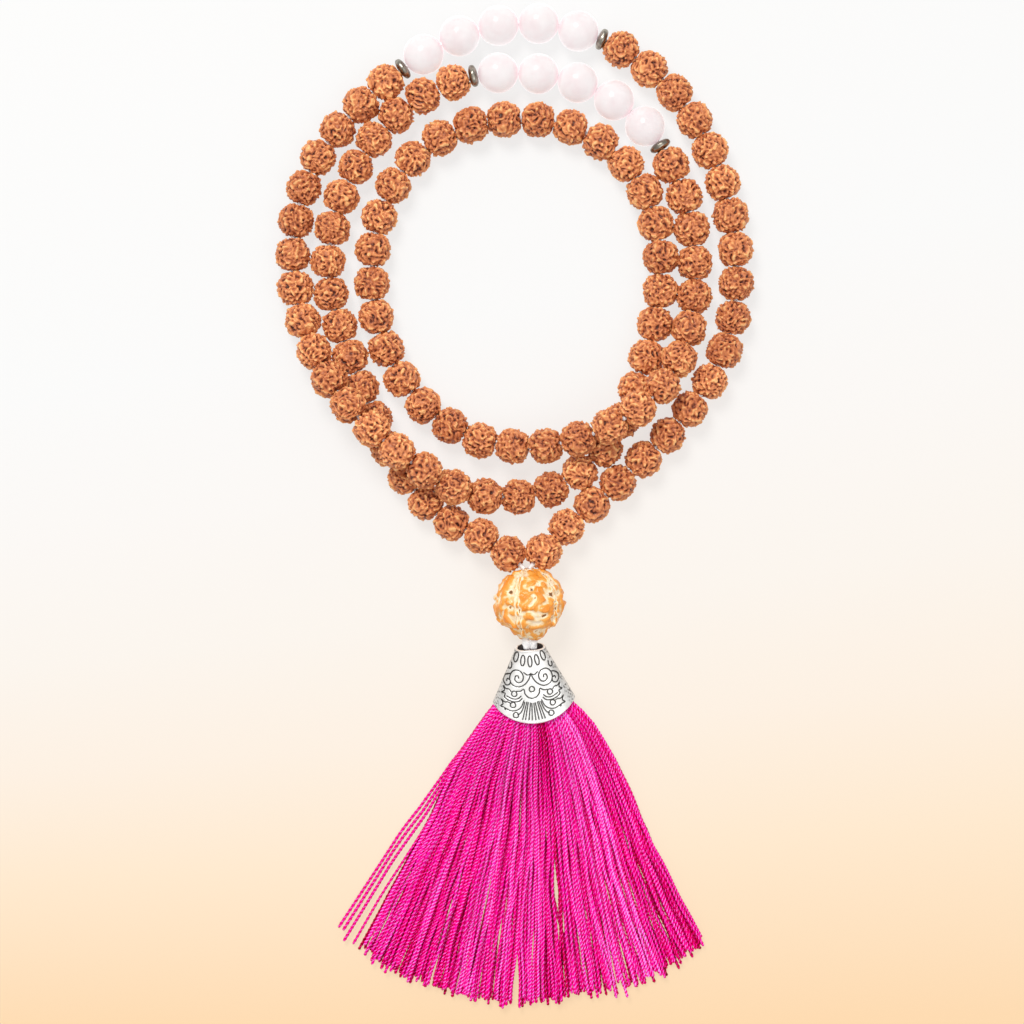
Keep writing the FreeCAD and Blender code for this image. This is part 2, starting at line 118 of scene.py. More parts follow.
class Nodes:
    """A material's node tree, with short ways to add and join nodes."""

    def __init__(self, name):
        self.material = bpy.data.materials.new(name)
        self.material.use_nodes = True
        self.tree = self.material.node_tree
        self.shader = self.tree.nodes["Principled BSDF"]

    def feed(self, socket, value):
        """Link a socket to another node's output, or give it a plain value."""
        if isinstance(value, bpy.types.NodeSocket):
            self.tree.links.new(value, socket)
        else:
            socket.default_value = value

    def add(self, kind, **inputs):
        node = self.tree.nodes.new(kind)
        for key, value in inputs.items():
            self.feed(node.inputs[key.replace("_", " ")], value)
        return node

    def set(self, **inputs):
        for key, value in inputs.items():
            self.feed(self.shader.inputs[key.replace("_", " ")], value)

    def attribute(self, name):
        node = self.tree.nodes.new("ShaderNodeAttribute")
        node.attribute_name = name
        return node.outputs["Fac"]

    def ramp(self, value, stops):
        node = self.tree.nodes.new("ShaderNodeValToRGB")
        self.tree.links.new(value, node.inputs["Fac"])
        elements = node.color_ramp.elements
        while len(elements) < len(stops):
            elements.new(0.5)
        for element, (at, colour) in zip(elements, stops):
            element.position = at
            element.color = (*colour, 1) if isinstance(colour, tuple) else (colour,) * 3 + (1,)
        return node.outputs["Color"]

    def maths(self, operation, a, b):
        node = self.tree.nodes.new("ShaderNodeMath")
        node.operation = operation
        for socket, value in zip(node.inputs, (a, b)):
            self.feed(socket, value)
        return node.outputs[0]

    def mix(self, kind, factor, a, b):
        node = self.tree.nodes.new("ShaderNodeMix")
        node.data_type = "RGBA"
        node.blend_type = kind
        sockets = (node.inputs[0], node.inputs[6], node.inputs[7])
        for socket, value in zip(sockets, (factor, a, b)):
            self.feed(socket, (*value, 1) if isinstance(value, tuple) else value)
        return node.outputs[2]

    def noise(self, scale, detail=4.0, rough=0.55):
        where = self.tree.nodes.new("ShaderNodeTexCoord").outputs["Object"]
        node = self.add("ShaderNodeTexNoise", Vector=where, Scale=scale, Detail=detail, Roughness=rough)
        return node.outputs["Fac"]

    def bump(self, height, strength, distance):
        node = self.add("ShaderNodeBump", Height=height, Strength=strength, Distance=distance)
        self.set(Normal=node.outputs["Normal"])


def seed_material():
    n = Nodes("rudraksha")
    depth, tone = n.attribute("depth"), n.attribute("tone")
    speckled = n.maths("MULTIPLY", n.maths("SUBTRACT", n.noise(1500), 0.5), 0.6)
    # The ramp paints the pits dark, partly the seed's own darker crevices and partly painted shade. Its top
    # stop is a painted highlight on the ridge tops.
    colour = n.ramp(
        n.maths("ADD", depth, speckled),
        [
            (0.0, (0.05, 0.008, 0.004)),
            (0.15, (0.15, 0.026, 0.012)),
            (0.32, (0.50, 0.150, 0.062)),
            (0.56, (0.74, 0.268, 0.105)),
            (0.78, (0.88, 0.355, 0.135)),
            (1.0, (1.0, 0.56, 0.23)),
        ],
    )
    warm = n.mix("MULTIPLY", 1.0, colour, n.ramp(tone, [(0.0, (0.80, 0.71, 0.69)), (1.0, (1.0, 1.0, 1.0))]))
    n.set(Base_Color=warm, Roughness=0.38)
    n.shader.inputs["Specular IOR Level"].default_value = 0.4
    n.shader.inputs["Specular Tint"].default_value = (1.0, 0.86, 0.72, 1)
    n.bump(n.noise(3600, 3.0), 0.5, 0.00012)
    return n.material


def guru_material():
    n = Nodes("guru_seed")
    depth = n.attribute("depth")
    speckled = n.maths("MULTIPLY", n.maths("SUBTRACT", n.noise(620, 6.0, 0.65), 0.5), 0.8)
    colour = n.ramp(
        n.maths("ADD", depth, speckled),
        [
            (0.0, (0.22, 0.085, 0.02)),
            (0.04, (0.80, 0.46, 0.18)),
            (0.13, (1.0, 0.87, 0.66)),
            (0.34, (0.98, 0.74, 0.42)),
            (0.49, (0.94, 0.42, 0.075)),
            (1.0, (0.87, 0.28, 0.022)),
        ],
    )
    n.set(Base_Color=colour, Roughness=0.3)
    n.shader.inputs["Specular IOR Level"].default_value = 0.55
    n.bump(n.noise(1900, 4.0), 0.5, 0.00016)
    return n.material


QUARTZ_SHADE = 0.40
QUARTZ_GLOW = 0.56  # stands for the floor's light that comes through the clear stone


def quartz_material():
    n = Nodes("rose_quartz")
    cloud = n.noise(230, 3.0, 0.5)
    clear = n.ramp(
        cloud,
        [
            (0.3, (0.94, 0.84, 0.85)),
            (0.55, (0.96, 0.90, 0.905)),
            (0.75, (0.97, 0.93, 0.93)),
        ],
    )
    colour = n.mix("MIX", n.attribute("near_bore"), clear, (0.93, 0.75, 0.78))
    dimmed = n.mix("MULTIPLY", 1.0, colour, (QUARTZ_SHADE,) * 3)
    n.set(Base_Color=dimmed, Emission_Color=colour, Roughness=0.15)
    n.shader.inputs["IOR"].default_value = 1.5
    n.shader.inputs["Specular IOR Level"].default_value = 0.18
    n.shader.inputs["Subsurface Weight"].default_value = 0.9
    n.shader.inputs["Subsurface Radius"].default_value = (1.0, 0.8, 0.8)
    n.shader.inputs["Subsurface Scale"].default_value = 0.004
    n.shader.inputs["Emission Strength"].default_value = QUARTZ_GLOW
    return n.material


def spacer_material():
    n = Nodes("spacer_metal")
    tarnish = n.noise(700, 4.0)
    n.set(Base_Color=n.ramp(tarnish, [(0.3, (0.14, 0.12, 0.095)), (0.7, (0.50, 0.47, 0.40))]), Metallic=1.0)
    n.set(Roughness=n.ramp(tarnish, [(0.3, 0.45), (0.7, 0.22)]))
    n.bump(n.noise(2500, 2.0), 0.15, 0.00008)
    return n.material


def silver_material():
    n = Nodes("antique_silver")
    engraved = n.attribute("engraved")
    patina = n.noise(600, 5.0)
    plate = n.ramp(patina, [(0.35, (0.86, 0.86, 0.84)), (0.6, (1.0, 1.0, 0.99))])
    # The engraved attribute darkens the plate: engraved lines, grime, and the painted shade on the cap's
    # sides.
    n.set(Base_Color=n.mix("MIX", engraved, plate, (0.03, 0.027, 0.025)), Metallic=0.34)
    n.set(Roughness=n.maths("ADD", n.maths("MULTIPLY", patina, 0.2), 0.28))
    n.bump(n.noise(1800, 3.0), 0.12, 0.00008)
    return n.material


def cord_material():
    n = Nodes("white_cord")
    colour = n.ramp(n.noise(1500), [(0.3, (0.86, 0.87, 0.88)), (0.7, (0.98, 0.98, 0.98))])
    n.set(Base_Color=colour, Roughness=0.75)
    n.bump(n.noise(5200, 2.0), 0.5, 0.0001)
    return n.material


THREAD_GLOW = 0.07  # stands for the light that shines through the threads


def thread_material():
    n = Nodes("tassel_thread")
    tone = n.attribute("tone")
    # The tone ramp's dark red low end paints shade and its pale top stop paints highlights; the middle is
    # the threads' own magenta.
    colour = n.ramp(
        tone,
        [
            (0.0, (0.22, 0.0, 0.006)),
            (0.25, (0.56, 0.0, 0.04)),
            (0.5, (0.92, 0.0, 0.22)),
            (0.75, (1.0, 0.006, 0.46)),
            (1.0, (1.0, 0.40, 0.98)),
        ],
    )
    n.set(Base_Color=colour, Emission_Color=colour, Roughness=0.35)
    n.shader.inputs["Emission Strength"].default_value = THREAD_GLOW
    n.shader.inputs["Specular IOR Level"].default_value = 0.2
    n.shader.inputs["Specular Tint"].default_value = (1.0, 0.2, 0.9, 1)
    n.shader.inputs["Sheen Weight"].default_value = 0.05
    n.shader.inputs["Sheen Tint"].default_value = (1.0, 0.1, 0.7, 1)
    return n.material


FLOOR_GLOW = 0.76  # the part of the floor's brightness that no shadow takes away
FLOOR_SHADE = 0.21  # the part that shadows can take
FLOOR_SLANT = -0.15  # the warm tint climbs towards the right, less so near the front
WARM_FROM, WARM_TO = -0.13, 0.05  # the tint fades between these places along Y
FADES_FROM, FADES_TO = 0.19, 0.55  # past the picture's edge the floor turns pale in all directions


def floor_material():
    n = Nodes("floor")
    where = n.tree.nodes.new("ShaderNodeTexCoord").outputs["Object"]
    split = n.add("ShaderNodeSeparateXYZ", Vector=where)
    slant = n.maths("SUBTRACT", FLOOR_SLANT, split.outputs["Y"])
    slanted = n.maths("ADD", split.outputs["Y"], n.maths("MULTIPLY", split.outputs["X"], slant))
    along = n.add("ShaderNodeMapRange", Value=slanted)
    along.inputs["From Min"].default_value = WARM_FROM
    along.inputs["From Max"].default_value = WARM_TO
    tint = n.ramp(
        along.outputs[0],
        [
            (0.0, (1.0, 0.72, 0.45)),
            (0.24, (1.0, 0.825, 0.63)),
            (0.41, (0.985, 0.88, 0.77)),
            (0.58, (0.966, 0.915, 0.855)),
            (0.78, (0.96, 0.935, 0.91)),
            (1.0, (0.95, 0.95, 0.945)),
        ],
    )
    away = n.add("ShaderNodeVectorMath", Vector=where)
    away.operation = "LENGTH"
    beyond = n.add("ShaderNodeMapRange", Value=away.outputs["Value"])
    beyond.inputs["From Min"].default_value = FADES_FROM
    beyond.inputs["From Max"].default_value = FADES_TO
    tint = n.mix("MIX", beyond.outputs[0], tint, (0.95, 0.93, 0.905))
    shaded = n.mix("MULTIPLY", 1.0, tint, (FLOOR_SHADE,) * 3)
    n.set(Base_Color=shaded, Emission_Color=tint, Roughness=0.9)
    n.shader.inputs["Emission Strength"].default_value = FLOOR_GLOW
    n.shader.inputs["Specular IOR Level"].default_value = 0.1
    return n.material


# ---------------------------------------------------------------- mesh helpers


def mesh_object(name, points, faces, material, **attributes):
    """A smooth mesh from arrays; faces have equal numbers of sides, attributes are per-point numbers."""
    mesh = bpy.data.meshes.new(name)
    faces = np.asarray(faces, np.int32)
    mesh.vertices.add(len(points))
    mesh.vertices.foreach_set("co", np.asarray(points, np.float32).ravel())
    mesh.loops.add(faces.size)
    mesh.loops.foreach_set("vertex_index", faces.ravel())
    mesh.polygons.add(len(faces))
    sides = faces.shape[1]
    mesh.polygons.foreach_set("loop_start", np.arange(0, faces.size, sides, dtype=np.int32))
    mesh.polygons.foreach_set("use_smooth", np.full(len(faces), True))
    for key, values in attributes.items():
        layer = mesh.attributes.new(key, "FLOAT", "POINT")
        layer.data.foreach_set("value", np.asarray(values, np.float32))
    mesh.update(calc_edges=True)
    mesh.validate()
    obj = bpy.data.objects.new(name, mesh)
    bpy.context.scene.collection.objects.link(obj)
    obj.data.materials.append(material)
    return obj


def join_parts(parts):
    """Several (points, faces, attributes) as one."""
    points, faces, attributes, start = [], [], {}, 0
    for part_points, part_faces, part_attributes in parts:
        points.append(part_points)
        faces.append(part_faces + start)
        start += len(part_points)
        for key, values in part_attributes.items():
            attributes.setdefault(key, []).append(values)
    joined = {key: np.concatenate(values) for key, values in attributes.items()}
    return np.concatenate(points), np.concatenate(faces), joined


def icosphere(subdivisions):
    form = bmesh.new()
    bmesh.ops.create_icosphere(form, subdivisions=subdivisions, radius=1.0)
    points = np.array([v.co[:] for v in form.verts])
    faces = np.array([[v.index for v in f.verts] for f in form.faces])
    form.free()
    return points / np.linalg.norm(points, axis=1, keepdims=True), faces


def grid_faces(rows, columns):
    """Quads of a grid of points whose columns close on themselves."""
    row, column = np.meshgrid(np.arange(rows - 1), np.arange(columns), indexing="ij")
    a = row * columns + column
    b = row * columns + (column + 1) % columns
    return np.stack([a, b, b + columns, a + columns], -1).reshape(-1, 4)


def unit(v):
    v = np.asarray(v, float)
    return v / np.linalg.norm(v)


def axes_along(direction, across=(0, 0, 1)):
    """Rows x, y, z of a frame whose z is the direction."""
    z = unit(direction)
    y = unit(np.cross(z, across))
    return np.array([np.cross(y, z), y, z])


def waves(points, scale, seed, count=10):
    """Smooth noise of about unit size, from plane waves in random directions."""
    draw = np.random.default_rng(seed)
    ways = draw.normal(size=(count, 3)) * scale
    phases = draw.uniform(0, 2 * math.pi, count)
    return np.sin(points @ ways.T + phases).sum(1) / math.sqrt(count / 2)


def smooth(x):
    x = np.clip(x, 0, 1)
    return x * x * (3 - 2 * x)


# ---------------------------------------------------------------- rudraksha seeds

SEED_POINTS, SEED_FACES = icosphere(6)
GROOVES = 5
SEED_RADIUS = 4.32 * MM
# Half lengths in mm of the seeds with these numbers along the cord: each seed meets its neighbours.
GROUP_ENDS = (19, 20, 79, 80)
HALF_LENGTHS = (4.38, 4.32, 4.32, 4.22)
BORE_MOUTH = 0.85 * MM  # radius of the dimple at each end of the bore
RIDGES = 25.0  # about how many waves go round a seed's equator
RELIEF = 0.125  # height of the ridges, as a part of the radius
SQUARENESS = 2.5  # 2 makes a ball, and a larger number bulges its corners
BORE_DIMPLE = 0.45 * MM


def ridge_field(points, waves_round, seed, count=56):
    """Winding ridges of even width: many waves of one length, in all directions."""
    draw = np.random.default_rng(seed)
    ways = draw.normal(size=(count, 3))
    ways *= waves_round * draw.uniform(0.6, 1.2, (count, 1)) / np.linalg.norm(ways, axis=1, keepdims=True)
    return np.cos(points @ ways.T + draw.uniform(0, 2 * math.pi, count)).sum(1) / math.sqrt(count / 2)


KNOBS, FINE_RIDGES = 0.62, 1.6  # waves against those of the ridges
MEAN_HEIGHT = 0.6


def off_groove(turn):
    """How far an angle is from the nearest of the evenly spaced grooves."""
    return np.abs((turn * GROOVES / (2 * math.pi) + 0.5) % 1 - 0.5) * 2 * math.pi / GROOVES


def rough_seed(points, seed, ridges, relief, groove_at=0.0, groove_width=0.05, groove_depth=0.5):
    """Outward distance (1 is the plain surface) and depth (0 in a pit, 1 on a ridge) on a unit ball."""
    bent = points + 0.05 * np.stack([waves(points, 4.0, seed * 7 + k) for k in range(3)], 1)
    field = ridge_field(bent, ridges, seed * 7 + 3)
    knobs = ridge_field(bent, ridges * KNOBS, seed * 7 + 4)
    fine = ridge_field(bent, ridges * FINE_RIDGES, seed * 7 + 5)
    ridge = smooth((field + 1.1) / 2.3)
    height = ridge * (0.84 + 0.30 * np.clip(knobs, -1.5, 1.3)) + 0.13 * fine
    pit = smooth((-field - 0.75) / 0.7) * smooth((-knobs + 0.4) / 1.0)
    height -= 0.30 * pit
    turn = np.arctan2(points[:, 1], points[:, 0]) - groove_at + 0.04 * waves(points, 5.0, seed * 7 + 6)
    flat = np.hypot(points[:, 0], points[:, 1])
    groove = np.exp(-((off_groove(turn) * flat / groove_width) ** 2)) * smooth((flat - 0.12) / 0.2)
    height = height * (1 - groove_depth * groove)
    lump = 0.012 * np.cos(turn * GROOVES + math.pi) * flat + 0.014 * waves(points, 2.4, seed * 7 + 2)
    return 1 + relief * (height - MEAN_HEIGHT) + lump, np.clip(0.27 + 0.66 * height, 0, 1)


def placed(points, axes, centre):
    return points @ axes + np.asarray(centre)


def loose_centres(node):
    """Centres of the separate solids of a CAD node, each from its own part of the mesh."""
    mesh = NODES[node].data
    count = len(mesh.vertices)
    points = np.empty(count * 3)
    mesh.vertices.foreach_get("co", points)
    points = points.reshape(-1, 3)
    edges = np.empty(len(mesh.edges) * 2, np.int64)
    mesh.edges.foreach_get("vertices", edges)
    edges = edges.reshape(-1, 2)
    keys = np.round(points * 1e7).astype(np.int64)
    _, merged = np.unique(keys, axis=0, return_inverse=True)
    label = np.arange(merged.max() + 1)
    a, b = merged.ravel()[edges[:, 0]], merged.ravel()[edges[:, 1]]
    while True:
        low = np.minimum(label[a], label[b])
        before = label.copy()
        np.minimum.at(label, a, low)
        np.minimum.at(label, b, low)
        label = label[label]
        if (label == before).all():
            break
    part = label[merged.ravel()]
    boxes = [points[part == value] for value in np.unique(part)]
    return [(box.min(0) + box.max(0)) / 2 for box in boxes if len(box) > 50]


def bead_number(node):
    return int(node.split("_")[1])


def seed_shape(seed, half_length):
    """Points of one seed, its bore along Z, and the depth of each."""
    out, depth = rough_seed(SEED_POINTS, seed, RIDGES, RELIEF)
    squared = (np.abs(SEED_POINTS) ** SQUARENESS).sum(1) ** (-1 / SQUARENESS)
    points = SEED_POINTS * (out * (0.6 + 0.4 * squared))[:, None] * (SEED_RADIUS, SEED_RADIUS, half_length)
    points[:, 2] /= (1 + np.abs(points[:, 2] / (half_length * 1.03)) ** 14) ** (1 / 14)
    flat = np.hypot(points[:, 0], points[:, 1])
    dimple = np.exp(-((flat / BORE_MOUTH) ** 2 * 1.2))
    points[:, 2] -= np.sign(points[:, 2]) * dimple * BORE_DIMPLE
    # Depth falls in the bore's dimples, so the ramp paints them dark as well.
    return points, np.clip(depth * (1 - 0.8 * dimple), 0, 1)


def make_seeds(material):
    nodes = sorted((n for n in NODES if n.startswith(("seed_", "seeds_"))), key=bead_number)
    number = 0
    for node in nodes:
        if node.startswith("seed_"):
            joint = JOINTS["turn_" + node]
            centres, ways = [joint["pos_m"]], [joint["axis"]]
        else:
            centres = chain_order(loose_centres(node))
            ways = np.gradient(np.array(centres), axis=0)
        parts = []
        for centre, way in zip(centres, ways):
            number += 1
            half_length = np.interp(number, GROUP_ENDS, HALF_LENGTHS) * MM
            points, depth = seed_shape(1000 + number, half_length)
            tone = np.full(len(points), np.clip(rng.normal(0.5, 0.25), 0, 1))
            placed_points = placed(points * rng.uniform(0.985, 1.02), axes_along(way), centre)
            parts.append((placed_points, SEED_FACES, dict(depth=depth, tone=tone)))
        points, faces, attributes = join_parts(parts)
        piece = mesh_object("rough_" + node, points, faces, material, **attributes)
        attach(piece, NODES[node]["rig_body"])
        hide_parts(node)


def chain_order(centres):
    """Centres in order along the cord: from one end of the row to the other."""
    centres = np.array(centres)
    apart = np.linalg.norm(centres[:, None] - centres[None], axis=2)
    first = np.unravel_index(apart.argmax(), apart.shape)[0]
    order, left = [first], set(range(len(centres))) - {first}
    while left:
        nearest = min(left, key=lambda k: apart[order[-1], k])
        order.append(nearest)
        left.remove(nearest)
    return centres[order]


# ---------------------------------------------------------------- turned beads and the guru bead


def lathe(profile, columns):
    """A closed outline of (radius, height) turned about Z; the outline's end joins its start."""
    profile = np.array(profile)
    angles = np.linspace(0, 2 * math.pi, columns, endpoint=False)
    points = np.stack(
        [
            np.outer(profile[:, 0], np.cos(angles)),
            np.outer(profile[:, 0], np.sin(angles)),
            np.repeat(profile[:, 1:2], columns, 1),
        ],
        -1,
    ).reshape(-1, 3)
    faces = grid_faces(len(profile), columns)
    last = (len(profile) - 1) * columns
    column = np.arange(columns)
    after = (column + 1) % columns
    closing = np.stack([last + column, last + after, after, column], -1)
    return points, np.concatenate([faces, closing])


GURU_SEAM = math.radians(21.6)


def round_profile(radius, half_length, hole, lip, steps, fullness=1.0):
    """Half of a bead's section: its crown from hole to hole, rounded lips and the bore."""
    start = math.acos(min((hole + lip) / radius, 1))
    turn = np.linspace(-start, start, steps)
    high = half_length / math.sin(start) ** fullness
    crown = np.stack([radius * np.cos(turn), high * np.sign(turn) * np.abs(np.sin(turn)) ** fullness], 1)
    bore = [(hole, half_length - lip * 0.8), (hole, 0), (hole, -half_length + lip * 0.8)]
    return np.concatenate([crown, bore])


def turned_piece(node, points, faces, material, slot, **attributes):
    joint = JOINTS["turn_" + node]
    world = placed(points, axes_along(joint["axis"]), joint["pos_m"])
    piece = mesh_object("turned_" + node, world, faces, material, **attributes)
    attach(piece, NODES[node]["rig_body"])
    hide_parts(node)


QUARTZ_FORM = dict(radius=5.0 * MM, half_length=4.92 * MM, hole=0.7 * MM, lip=0.2 * MM, steps=56)
SPACER_FORM = dict(
    radius=2.75 * MM, half_length=1.06 * MM, hole=0.9 * MM, lip=0.3 * MM, steps=41, fullness=0.72
)


def make_quartz(material):
    points, faces = lathe(round_profile(**QUARTZ_FORM), 96)
    near_bore = smooth((np.abs(points[:, 2]) / MM - 3.6) / 1.4)
    for node in sorted(n for n in NODES if n.startswith("quartz_bead")):
        turned_piece(node, points, faces, material, "rose_quartz", near_bore=near_bore)


def make_spacers(material):
    """Rondelles with a soft edge, and dents from their casting."""
    points, faces = lathe(round_profile(**SPACER_FORM), 72)
    for number in range(1, 5):
        node = f"spacer_{number}"
        dents = 1 + 0.012 * waves(points / MM, 1.6, 900 + number)
        turned_piece(node, points * dents[:, None], faces, material, "spacer_metal")


# The guru bead's outline: degrees from the pole beside the cap, radius and height in mm.
GURU_DEGREES = (0, 6, 13, 26, 36, 41, 47, 56, 70, 90, 110, 124, 140, 152, 163, 173, 180)
GURU_OUT = (0.0, 1.6, 2.75, 3.9, 4.9, 5.3, 6.3, 7.2, 8.15, 8.62, 8.15, 7.2, 5.6, 4.1, 2.55, 1.1, 0.0)
GURU_HIGH = (
    8.6, 9.1, 9.0, 7.5, 6.35, 6.15, 5.8, 4.82, 2.95, 0.0,
    -2.95, -4.82, -6.65, -7.8, -8.45, -8.85, -8.4,
)
GURU_DRAW = 77
GURU_RIDGES = 23.0
GURU_RELIEF = 0.075
LIP_OFF, LIP_WIDTH, LIP_HEIGHT = 0.06, 0.026, 0.016  # the raised lips beside each seam, in radii


def make_guru(material):
    """Smooth islands over a paler hollow ground, two of its five seams on top, and a collar at one end."""
    ball, faces = icosphere(7)
    out, depth = rough_seed(ball, GURU_DRAW, GURU_RIDGES, GURU_RELIEF, GURU_SEAM, 0.03, 0.9)
    turn = np.arctan2(ball[:, 1], ball[:, 0]) - GURU_SEAM
    flat = np.hypot(ball[:, 0], ball[:, 1])
    from_lip = (off_groove(turn) * flat - LIP_OFF) / LIP_WIDTH
    lips = np.exp(-(from_lip**2)) * smooth((flat - 0.25) / 0.2)
    out += LIP_HEIGHT * lips
    depth = depth * (1 - 0.75 * lips)
    pole = np.degrees(np.arccos(np.clip(ball[:, 2], -1, 1)))
    wide = np.interp(pole, GURU_DEGREES, GURU_OUT) * out * MM
    high = np.interp(pole, GURU_DEGREES, GURU_HIGH) * out * MM
    outward = ball[:, :2] / np.maximum(flat, 1e-6)[:, None]
    points = np.column_stack([outward * wide[:, None], high])
    turned_piece("guru_bead", points, faces, material, "guru_seed", depth=depth)


# ---------------------------------------------------------------- cord and knot

# The same route that the CAD cord follows, in metres.
CORD_ROUTE = [
    (0.00375, -0.01485, 0.00875),
    (0.012, -0.005, 0.0054),
    (0.025, 0.0055, 0.0042),
    (0.0405, 0.020, 0.0045),
    (0.0535, 0.038, 0.0043),
    (0.0565, 0.060, 0.0043),
    (0.0525, 0.083, 0.0043),
    (0.0425, 0.103, 0.0043),
    (0.026, 0.1165, 0.0046),
    (0.0055, 0.1225, 0.0055),
    (-0.0155, 0.1185, 0.0055),
    (-0.035, 0.105, 0.0044),
    (-0.051, 0.087, 0.0044),
    (-0.0565, 0.065, 0.0042),
    (-0.0525, 0.0435, 0.0047),
    (-0.0425, 0.0265, 0.0114),
    (-0.0285, 0.0135, 0.0138),
    (-0.012, 0.003, 0.0075),
    (0.007, 0.0025, 0.0043),
    (0.0235, 0.014, 0.0043),
    (0.0335, 0.0365, 0.0043),
    (0.038, 0.0615, 0.0044),
    (0.0325, 0.083, 0.0043),
    (0.017, 0.096, 0.0043),
    (-0.004, 0.0985, 0.0043),
    (-0.0235, 0.0915, 0.0043),
    (-0.035, 0.0735, 0.0043),
    (-0.036, 0.049, 0.0043),
    (-0.0265, 0.028, 0.0043),
    (-0.0095, 0.016, 0.0042),
    (0.010, 0.015, 0.0083),
    (0.0275, 0.0215, 0.0137),
    (0.0405, 0.0335, 0.0094),
    (0.046, 0.0535, 0.0042),
    (0.044, 0.0775, 0.0043),
    (0.0325, 0.098, 0.0052),
    (0.0135, 0.1085, 0.0053),
    (-0.009, 0.1095, 0.0050),
    (-0.0285, 0.101, 0.0043),
    (-0.0425, 0.0825, 0.0043),
    (-0.048, 0.060, 0.0043),
    (-0.0405, 0.036, 0.0043),
    (-0.0305, 0.012, 0.0043),
    (-0.0185, -0.003, 0.0043),
    (-0.0045, -0.008, 0.0069),
    (0.00255, -0.0149, 0.00875),
]
CORD_DIAMETER = 0.0011


def make_cord(material):
    curve = bpy.data.curves.new("stringing_cord_strand", "CURVE")
    curve.dimensions = "3D"
    spline = curve.splines.new("NURBS")
    spline.points.add(len(CORD_ROUTE) - 1)
    for point, place in zip(spline.points, CORD_ROUTE):
        point.co = (*place, 1)
    spline.order_u = 3
    spline.use_endpoint_u = True
    spline.resolution_u = 10
    curve.bevel_depth = CORD_DIAMETER / 2
    curve.bevel_resolution = 3
    curve.use_fill_caps = True
    cord = bpy.data.objects.new("stringing_cord_strand", curve)
    bpy.context.scene.collection.objects.link(cord)
    curve.materials.append(material)
    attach(cord, "strand")
    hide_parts("stringing_cord")


def tube(path, radii, columns, lobes, lobe_depth, twist, phase):
    """A tube along a path of points, without end faces; its section has twisted lobes."""
    path = np.asarray(path, float)
    steps = np.gradient(path, axis=0)
    steps /= np.linalg.norm(steps, axis=1, keepdims=True)
    up = np.array([0.0, 0.0, 1.0])
    across = np.cross(up, steps)
    across /= np.linalg.norm(across, axis=1, keepdims=True)
    over = np.cross(steps, across)
    run = np.concatenate([[0], np.cumsum(np.linalg.norm(np.diff(path, axis=0), axis=1))])
    angles = np.linspace(0, 2 * math.pi, columns, endpoint=False)
    turned = angles[None, :] + (twist * run + phase)[:, None]
    swell = 1 + lobe_depth * np.cos(lobes * angles)[None, :]
    reach = np.asarray(radii, float).reshape(-1, 1) * swell
    points = (
        path[:, None, :]
        + across[:, None, :] * (reach * np.cos(turned))[..., None]
        + over[:, None, :] * (reach * np.sin(turned))[..., None]
    )
    return points.reshape(-1, 3), grid_faces(len(path), columns)


def rounded_ends(count, rows):
    """Radii along a piece: full, and closing like half a ball over a few rows at both ends."""
    from_end = np.minimum(np.arange(count), np.arange(count)[::-1])
    return np.sqrt(np.clip(1 - (1 - np.minimum(from_end / rows, 1)) ** 2, 0.0004, 1))


TAIL_REACH = (-1.9, 2.3)  # from the pivot, towards the guru bead and into the cap, mm
TAIL_APART = 0.85
TAIL_RADIUS = 0.88


def make_tail(material):
    """The doubled cord's two soft strands between the guru bead and the cap, and inside both."""
    pivot = np.array(JOINTS["lift_tassel"]["pos_m"])
    way = unit(np.array(JOINTS["turn_guru_bead"]["axis"]))
    if way[1] > 0:
        way = -way
    across = unit(np.cross((0, 0, 1), way))
    parts = []
    for side in (-1, 1):
        along = np.linspace(*TAIL_REACH, 40) * MM
        bulge = 0.95 + 0.32 * np.exp(-((along / (1.0 * MM)) ** 2))
        path = pivot + np.outer(along, way) + across * side * TAIL_APART * MM
        radii = TAIL_RADIUS * MM * bulge * rounded_ends(len(along), 6)
        points, faces = tube(path, radii, 28, lobes=3, lobe_depth=0.07, twist=side * 900.0, phase=side)
        parts.append((points, faces, {}))
    points, faces, _ = join_parts(parts)
    knot = mesh_object("doubled_cord_knot", points, faces, material)
    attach(knot, "tail")
    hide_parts("tail_knot")
    for node in ("guru_cord_pair", "tail_cord_pair"):
        NODES[node].data.materials.clear()
        NODES[node].data.materials.append(material)


# ---------------------------------------------------------------- the cap

CAP_LENGTH = 18.95
NECK_HALF = (3.3, 2.5)  # half width and half depth, mm
MOUTH_HALF = (12.8, 5.2)
RIM_RADIUS = 13.3
CAP_WALL = 0.55
CAP_SQUARENESS = 2.4
NECK_BEFORE = 0.85  # from the joint between guru bead and cap to the cap's neck, mm
LINE_HALF_WIDTH = 0.155
LINE_DEPTH = 0.13


def cap_frame():
    """The middle of the cap's neck, and rows across, up and along the cap."""
    pivot, mouth = (np.array(JOINTS[name]["pos_m"]) for name in ("lift_tassel", "sway_skirt"))
    along = unit(mouth - pivot)
    neck = pivot + along * NECK_BEFORE * MM
    return neck, axes_along(along, across=-np.cross(along, (0, 0, 1)))


def through(*points, steps=8):
    """A smooth line through points."""
    p = np.array([points[0], *points, points[-1]], float)
    line = []
    for a, b, c, d in zip(p, p[1:], p[2:], p[3:]):
        t = np.linspace(0, 1, steps, endpoint=False)[:, None]
        line.append(
            0.5 * (2 * b + (c - a) * t + (2 * a - 5 * b + 4 * c - d) * t**2
                   + (3 * b - a - 3 * c + d) * t**3)
        )
    return np.concatenate([*line, p[-1:]])


def oval(x, z, half_width, half_height, lean=0.0):
    turn = np.linspace(0, 2 * math.pi, 25)
    lean = math.radians(lean)
    w, h = half_width * np.cos(turn), half_height * np.sin(turn)
    across = x + w * math.cos(lean) + h * math.sin(lean)
    along = z - w * math.sin(lean) + h * math.cos(lean)
    return np.stack([across, along], 1)


ORNAMENT_SHIFT = -0.35  # the engraving sits this far off the middle, mm


